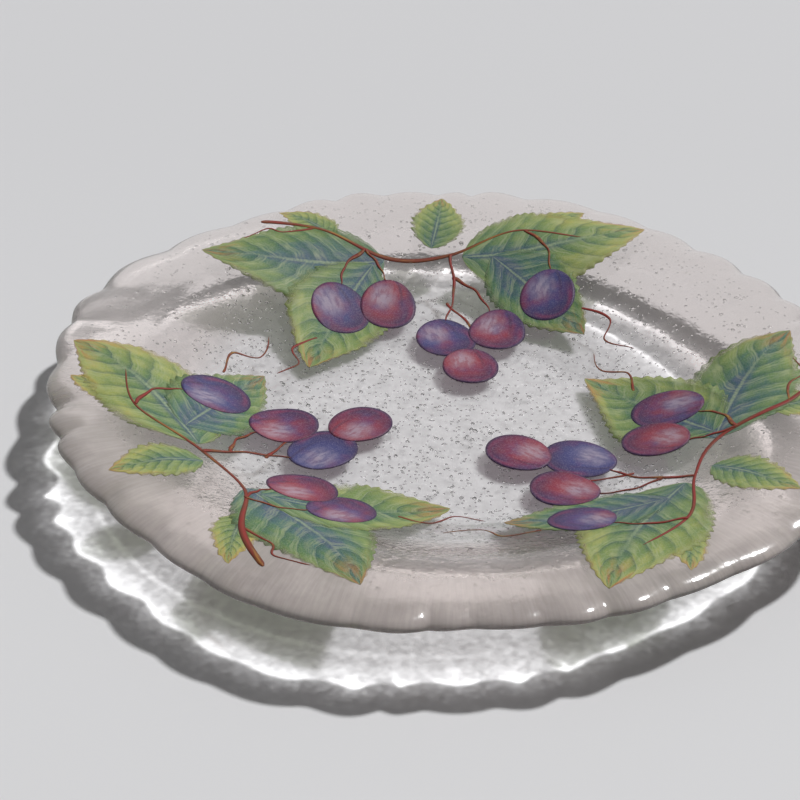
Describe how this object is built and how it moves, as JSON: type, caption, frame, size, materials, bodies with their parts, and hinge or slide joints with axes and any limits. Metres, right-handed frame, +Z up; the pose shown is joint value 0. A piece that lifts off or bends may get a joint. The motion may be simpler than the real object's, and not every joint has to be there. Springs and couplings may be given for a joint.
{
  "type": "painted glass plate",
  "caption": "Round clear glass plate with a flat well, a nearly flat rim, an uneven scalloped edge and a painted plum spray decoration; holds and serves food.",
  "frame": {"origin": "middle of the flat underside, on the surface that the plate rests on", "axes": "+Z up through the well, +X to the right and +Y away from the viewer of the picture"},
  "size_m": [0.242, 0.2428, 0.0236],
  "materials": {
    "clear_glass": "clear, fire polished, with fine seed bubbles",
    "leaf_enamel": "fired enamel, satin",
    "fruit_enamel": "fired enamel, satin",
    "twig_enamel": "fired enamel, satin"
  },
  "bodies": {
    "root": {"plate": "clear_glass"}
  },
  "joints": []
}
